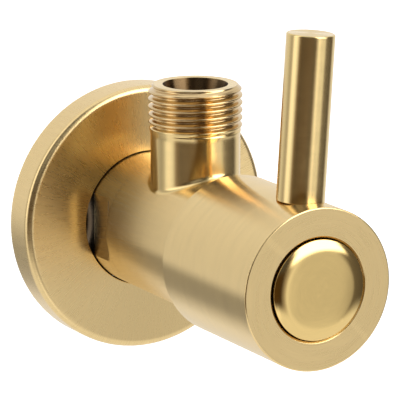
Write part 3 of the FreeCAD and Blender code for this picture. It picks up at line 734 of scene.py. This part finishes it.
def addNeckFoot(shell, outline, angles):
    # a fillet rolls round the neck's foot: its centre is one fillet away from the neck and the barrel
    size = bodySize
    radius, neck, fillet = size["barrelRadius"], size["neckRadius"], size["neckFillet"]
    centres = []
    for angle in angles:
        x = (neck + fillet) * math.cos(angle)
        depth = neckDepth + (neck + fillet) * math.sin(angle)
        centres.append(Vector((x, -depth, math.sqrt((radius + fillet) ** 2 - x * x))))
    target = [(math.asin(centre.x / (radius + fillet)), -centre.y) for centre in centres]
    loops = [windowPatch(shell, outline, radius, target, size["outerRings"], bodyPaint["barrel"])]
    for number in range(1, size["filletRows"] + 1):
        points = []
        for centre, angle, (turn, depth) in zip(centres, angles, target):
            low = aroundY(radius, depth, turn) - centre
            high = neckPoint(neck, centre.z, angle) - centre
            roll = low.normalized().slerp(high.normalized(), number / size["filletRows"])
            points.append(centre + roll * fillet)
        loops.append(shell.loop(points))
    shell.chain(loops, bodyPaint["neck"])
    return loops[-1]


def addNeckWall(shell, foot, angles):
    # smooth wall, then the rows that the thread is cut into, growing from the neck's radius to the thread's
    size = bodySize
    neck, start, top, chamfer = size["neckRadius"], size["threadStart"], size["neckTop"], size["rimChamfer"]
    wall = [foot]
    for lift in size["footHolds"]:
        points = [neckPoint(neck, shell.points[i].z + lift, angle) for i, angle in zip(foot, angles)]
        wall.append(shell.loop(points))
    wall += [neckRing(shell, neck, start - drop, angles) for drop in size["startHolds"]]
    stepSize = outletThread["pitch"] / outletThread["rowsPerPitch"]
    height = start + size["firstThreadRow"]
    grown = None
    while height < top - chamfer - stepSize / 2:
        growth = min(1.0, (height - start) / size["threadGrowth"])
        if growth == 1.0 and grown is None:
            grown = len(wall)
        wall.append(neckRing(shell, neck + (outletRadius - neck) * growth, height, angles))
        height += stepSize
    for number in range(size["chamferRows"] + 1):
        cut = chamfer * number / size["chamferRows"]
        wall.append(neckRing(shell, outletRadius - cut, top - chamfer + cut, angles))
    shell.chain(wall[:grown + 1], bodyPaint["neck"])
    shell.chain(wall[grown:], bodyPaint["thread"])
    return wall[-1]


def addOutletBore(shell, rim, angles):
    # flat rim, seat cone, pipe bore down to its stop, and the water way into the cavity
    size = bodySize
    top, seat, edge, lip = size["neckTop"], size["seatRadius"], size["seatEdge"], size["seatLip"]
    hold, wideHold = size["hold"], size["wideHold"]
    stop, way, cavity = size["pipeStop"], size["waterWay"], size["cavityRadius"]
    face = [rim]
    for radius, height in ((outletRadius - size["rimChamfer"] - wideHold, top), (seat + edge + wideHold, top),
                           (seat + edge, top), (seat + lip, top - lip)):
        face.append(neckRing(shell, radius, height, angles))
    shell.chain(face, bodyPaint["neck"])
    bore = face[-1:]
    seatEnd = top - size["seatDepth"]
    for radius, height in ((seat, top - edge), (seat - 0.01, top - edge - hold),
                           (pipeRadius + 0.01, seatEnd + hold), (pipeRadius, seatEnd),
                           (pipeRadius, seatEnd - hold), (pipeRadius, stop), (way, stop)):
        bore.append(neckRing(shell, radius, height, angles))
    mouth = [neckPoint(way, math.sqrt(cavity ** 2 - (way * math.cos(angle)) ** 2), angle) for angle in angles]
    bore.append(shell.loop(mouth))
    shell.chain(bore, bodyPaint["bore"])
    return bore[-1]


def makeBody():
    size = bodySize
    shell = Shell()
    columns, windowHalf, windowRows = size["columns"], size["windowHalf"], size["windowRows"]
    profile, outerWindow, innerWindow = barrelProfile()
    rows = [circleRow(shell, radius, depth, columns, clip) for radius, depth, clip, _ in profile]
    windowColumns = [i % columns for i in range(-windowHalf, windowHalf)]
    for number, first in enumerate(rows):
        after = (number + 1) % len(rows)
        inWindow = any(start <= number < start + windowRows for start in (outerWindow, innerWindow))
        shell.skin(first, rows[after], profile[after][3], windowColumns if inWindow else ())

    # neck: the angle of each of its columns comes from the window's outline
    outline = windowLoop(rows[outerWindow:outerWindow + windowRows + 1], windowHalf)
    angles = []
    for number in outline:
        point = shell.points[number]
        angles.append(math.atan2(-point.y - neckDepth, size["barrelRadius"] * math.atan2(point.x, point.z)))
    foot = addNeckFoot(shell, outline, angles)
    rim = addNeckWall(shell, foot, angles)
    boreEnd = addOutletBore(shell, rim, angles)

    # the water way opens into the cavity
    way, cavity = size["waterWay"], size["cavityRadius"]
    innerOutline = windowLoop(rows[innerWindow:innerWindow + windowRows + 1][::-1], windowHalf)
    mouth = []
    for angle in angles:
        mouth.append((math.asin(way * math.cos(angle) / cavity), neckDepth + way * math.sin(angle)))
    last = windowPatch(shell, innerOutline, cavity, mouth, size["innerRings"], bodyPaint["bore"])
    shell.skin(last, boreEnd, bodyPaint["bore"])

    neckBase = (0.0, -neckDepth * mm, 0.0)
    threadMetal = turnedMetal("goldThread", threadLook, neckBase, up)
    body = shell.build("valveBody", [
        turnedMetal("satinGoldBarrel", satinLook, origin, inward),
        turnedMetal("polishedGoldNeck", polishedLook, neckBase, up),
        threadMetal,
        # dark bore colour, also painted shade on the barrel inside the flange
        turnedMetal("boreAndPaintedShade", boreAndShadeLook, neckBase, up),
    ])
    inletMetal = turnedMetal("brassInletThread", brassLook, origin, inward)
    for spec, point, axis, begin, major, metal in (
            (outletThread, neckBase, up, size["threadStart"], outletRadius, threadMetal),
            (inletThread, origin, inward, -size["reliefRear"], inletRadius, inletMetal)):
        tree, inputs = threadTree("cutThread", metal)
        applyTree(body, tree, inputs, {
            "Major Radius": major * mm, "Depth": spec["depth"] * mm, "Pitch": spec["pitch"] * mm,
            "Start": begin * mm, "Run Out": spec["runOut"] * mm,
            "Axis Point": point, "Axis": axis, "Zero Direction": right,
        })
    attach(body, "valve")
    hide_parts("valve_body")
    print("valve body done")


flangeSize = {
    "radius": flangeHigh[0], "depth": -flangeLow[1], "sheet": 0.8, "edge": 1.3, "hole": 12.42,
    "collarRear": 2.6, "collarRadius": 14.0, "columns": 192,
    "sheetEdge": 0.1, "bend": 0.15, "holeEdge": 0.12,
}


def makeFlange():
    size = flangeSize
    shell = Shell()
    radius, depth, sheet, collar = size["radius"], size["depth"], size["sheet"], size["collarRadius"]
    back = depth - sheet
    rear, hole, cut, bend = size["collarRear"], size["hole"], size["sheetEdge"], size["bend"]
    corners = [
        (hole, back, 0), (collar, back, 0), (collar, rear, cut), (collar + sheet, rear, cut),
        (collar + sheet, back, bend), (radius - sheet, back, bend), (radius - sheet, 0.0, cut),
        (radius, 0.0, bend), (radius, depth, size["edge"]), (hole, depth, size["holeEdge"]),
    ]
    turnedPiece(shell, softLine(corners, closed=True), aroundY, size["columns"], closed=True)
    metal = turnedMetal("satinGoldFlange", flangeLook, origin, inward)
    flange = shell.build("wallFlange", [metal])
    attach(flange, "flange")
    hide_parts("wall_flange")
    print("wall flange done")


handleLean = 3.7      # degrees past upright at rest
handleTurn = Matrix.Rotation(math.radians(handleLean), 4, "Y")
handleTurned = handleTurn.to_3x3()

sleeveSize = {
    "radius": sleeveHigh[2], "rear": -sleeveHigh[1], "front": -sleeveLow[1], "edge": 0.25,
    "mouthRadius": 12.45, "mouthFront": 41.9, "boreRadius": 11.6, "webRear": 52.0, "webFront": 58.0,
    "webBore": 6.45, "recessRadius": 8.95, "recessEdge": 9.25,
    "leverDepth": 59.5, "seatRadius": 4.3, "leverFoot": 13.8, "studHole": 2.5, "studHoleFoot": 9.3,
    "mouthEdge": 0.12, "rearEdge": 0.15, "faceInnerEdge": 0.08, "innerEdge": 0.05, "webEdge": 0.1,
    "studSteps": 4,
    "columns": 192, "windowHalf": 20, "windowRows": 24, "windowStep": 0.5, "windowRings": 6,
}


def sleeveProfile():
    # (radius, depth) from the mouth over the outside to the front face, and back through the inside
    size = sleeveSize
    radius, rear, front = size["radius"], size["rear"], size["front"]
    mouth, mouthFront, bore = size["mouthRadius"], size["mouthFront"], size["boreRadius"]
    recess, recessEdge = size["recessRadius"], size["recessEdge"]
    web, webRear, webFront = size["webBore"], size["webRear"], size["webFront"]
    before = softLine([
        (mouth, rear + 1, 0), (mouth, rear, size["mouthEdge"]), (radius, rear, size["rearEdge"]),
        (radius, rear + 3, 0),
    ])[1:]
    half = size["windowStep"] * size["windowRows"] / 2
    window = [Vector((radius, size["leverDepth"] - half + i * size["windowStep"]))
              for i in range(size["windowRows"] + 1)]
    after = softLine([
        (radius, front - 1, 0), (radius, front, size["edge"]), (recessEdge, front, size["faceInnerEdge"]),
        (recess, front - (recessEdge - recess), size["innerEdge"]), (recess, webFront, 0),
        (web, webFront, size["webEdge"]), (web, webRear, 0), (bore, webRear, 0), (bore, mouthFront, 0),
        (mouth, mouthFront, size["innerEdge"]), (mouth, rear + 1, 0),
    ])[1:-1]
    return before + window + after, len(before)


def addLeverSeat(shell, outline):
    # flat seat and stud hole under the lever, let into the sleeve's side
    size = sleeveSize
    radius, depth, seat, hole = size["radius"], size["leverDepth"], size["seatRadius"], size["studHole"]
    angles = []
    for number in outline:
        point = shell.points[number]
        angles.append(math.atan2(-point.y - depth, radius * math.atan2(point.x, point.z)))
    target = []
    for angle in angles:
        target.append((math.asin(seat * math.cos(angle) / radius), depth + seat * math.sin(angle)))
    loops = [windowPatch(shell, outline, radius, target, size["windowRings"])]

    def seatLoop(radiusHere, top):
        points = []
        for angle in angles:
            x = radiusHere * math.cos(angle)
            surface = math.sqrt(radius ** 2 - x * x)
            points.append(Vector((x, -depth - radiusHere * math.sin(angle), min(surface, top))))
        return shell.loop(points)

    outermost = seat - 0.02      # just inside the patch's last ring
    for number in range(size["studSteps"] + 1):
        share = number / size["studSteps"]
        loops.append(seatLoop(outermost - (outermost - hole) * share, size["leverFoot"]))
    loops.append(seatLoop(hole, size["studHoleFoot"]))
    shell.chain(loops)
    shell.fan(loops[-1], Vector((0.0, -depth, size["studHoleFoot"])))


def makeSleeve():
    size = sleeveSize
    shell = Shell()
    columns, windowHalf = size["columns"], size["windowHalf"]
    line, firstWindow = sleeveProfile()
    lastWindow = firstWindow + size["windowRows"]
    rows = [circleRow(shell, radius, depth, columns) for radius, depth in line]
    windowColumns = [i % columns for i in range(-windowHalf, windowHalf)]
    for number, first in enumerate(rows):
        after = (number + 1) % len(rows)
        onFace = min(line[number].y, line[after].y) > size["front"] - 0.001
        inWindow = firstWindow <= number < lastWindow
        shell.skin(first, rows[after], int(onFace), windowColumns if inWindow else ())
    addLeverSeat(shell, windowLoop(rows[firstWindow:lastWindow + 1], windowHalf))
    metals = [turnedMetal(name, look, origin, inward)
              for name, look in (("satinGoldSleeve", satinLook), ("satinGoldFace", faceLook))]
    sleeve = shell.build("handleSleeve", metals, turn=handleTurn)
    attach(sleeve, "handle")
    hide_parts("handle_sleeve")
    print("handle sleeve done")


leverSize = {"radius": 4.14, "foot": 13.8, "top": 42.3, "edge": 0.3, "depth": 59.5,
             "holeRadius": 2.5, "holeTop": 22.0, "footEdge": 0.12, "columns": 128}


def makeLever():
    size = leverSize
    shell = Shell()

    def place(radius, height, turn):
        return Vector((radius * math.cos(turn), -size["depth"] - radius * math.sin(turn), height))

    hole, holeTop, radius = size["holeRadius"], size["holeTop"], size["radius"]
    foot, top = size["foot"], size["top"]
    line = [Vector((0.0, holeTop)), Vector((hole, holeTop))]
    line += softLine([(hole, foot, 0), (radius, foot, size["footEdge"]), (radius, top, size["edge"]),
                      (0.0, top, 0)])
    turnedPiece(shell, line, place, size["columns"], closed=False)
    axisPoint = handleTurned @ Vector((0.0, -size["depth"] * mm, 0.0))
    axis = handleTurned @ Vector((0.0, 0.0, 1.0))
    metal = turnedMetal("polishedGoldLever", polishedLook, tuple(axisPoint), tuple(axis))
    lever = shell.build("leverRod", [metal], turn=handleTurn)
    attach(lever, "handle")
    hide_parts("lever_rod")
    print("lever rod done")


capSize = {
    "underDepth": 65.4, "boreRadius": 6.6, "rear": -capHigh[1], "skirtRadius": 8.3, "grooveRear": 63.2,
    "grooveFront": 64.6, "grooveRadius": 7.68, "rimRear": 65.2, "rimRadius": 8.7, "rimFront": 67.24,
    "crownRadius": 6.2, "crownDepth": 68.0, "top": -capLow[1], "shoulder": 6.85, "rimEdge": 0.15,
    "rimRearEdge": 0.08, "skirtEdge": 0.1, "shoulderSteps": 10, "domeSteps": 14, "columns": 160,
}


def capShoulder():
    # an arc from the rim to the crown
    size = capSize
    start = Vector((size["rimRadius"], size["rimFront"]))
    end = Vector((size["crownRadius"], size["crownDepth"]))
    chord = end - start
    lift = math.sqrt(size["shoulder"] ** 2 - (chord.length / 2) ** 2)
    centre = (start + end) / 2 + Vector((-chord.y, chord.x)).normalized() * lift
    steps = size["shoulderSteps"]
    return [centre + (start - centre).slerp(end - centre, number / steps) * size["shoulder"]
            for number in range(1, steps + 1)]


def capDome():
    # the crown is a shallow dome, down to the cap's axis
    size = capSize
    rise = size["top"] - size["crownDepth"]
    crown = (size["crownRadius"] ** 2 + rise ** 2) / (2 * rise)
    dome = []
    for number in range(1, size["domeSteps"]):
        radius = size["crownRadius"] * (1 - number / size["domeSteps"])
        dome.append(Vector((radius, size["top"] - crown + math.sqrt(crown ** 2 - radius ** 2))))
    return dome + [Vector((0.0, size["top"]))]


def makeCap():
    size = capSize
    shell = Shell()
    under, bore, rear, skirt = size["underDepth"], size["boreRadius"], size["rear"], size["skirtRadius"]
    groove, grooveRear, grooveFront = size["grooveRadius"], size["grooveRear"], size["grooveFront"]
    rim, rimRear, rimFront, edge = size["rimRadius"], size["rimRear"], size["rimFront"], size["skirtEdge"]
    shoulder = capShoulder()
    line = softLine([
        (0.0, under, 0), (bore, under, edge), (bore, rear, edge), (skirt, rear, edge), (skirt, grooveRear, 0),
        (groove, grooveRear, 0), (groove, grooveFront, 0), (skirt, grooveFront, 0), (skirt, rimRear, 0),
        (rim, rimRear, size["rimRearEdge"]), (rim, rimFront, size["rimEdge"]), (*shoulder[1], 0),
    ])
    line += shoulder[2:] + capDome()
    turnedPiece(shell, line, aroundY, size["columns"], closed=False)
    metal = turnedMetal("polishedGoldCap", capLook, origin, inward)
    cap = shell.build("frontCap", [metal], turn=handleTurn)
    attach(cap, "handle")
    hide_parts("front_cap")
    print("front cap done")


def finishInside():
    # the inner pieces keep their solids and get a finish
    finishes = {
        "raw_brass": turnedMetal("machinedBrass", brassLook, origin, inward),
        "steel": turnedMetal("plainSteel", steelLook, origin, inward),
        "ceramic": mottled("lappedCeramic", (0.86, 0.86, 0.83), roughness=0.22, scale=900.0, spread=0.03,
                           bump=0.1, bumpDepth=0.00001, Coat_Weight=0.3),
        "rubber": mottled("sealRubber", (0.012, 0.010, 0.009), roughness=0.75, scale=1500.0, spread=0.2,
                          bump=0.12, bumpDepth=0.00002),
        "slide_plastic": mottled("acetalPlastic", (0.82, 0.81, 0.76), roughness=0.42, scale=700.0,
                                 spread=0.04, bump=0.15, bumpDepth=0.00001, Subsurface_Weight=0.05),
    }
    for part in record["subparts"]:
        finish = finishes.get(part["material_slot"])
        if finish is None:
            continue
        mesh = nodes[part["node"]].data
        mesh.materials.clear()
        mesh.materials.append(finish)
    print("inner pieces finished")


makeCamera()
makeWorld()
makeFloor()
makeBody()
makeFlange()
makeSleeve()
makeLever()
makeCap()
finishInside()

bpy.context.scene.view_settings.view_transform = "Standard"
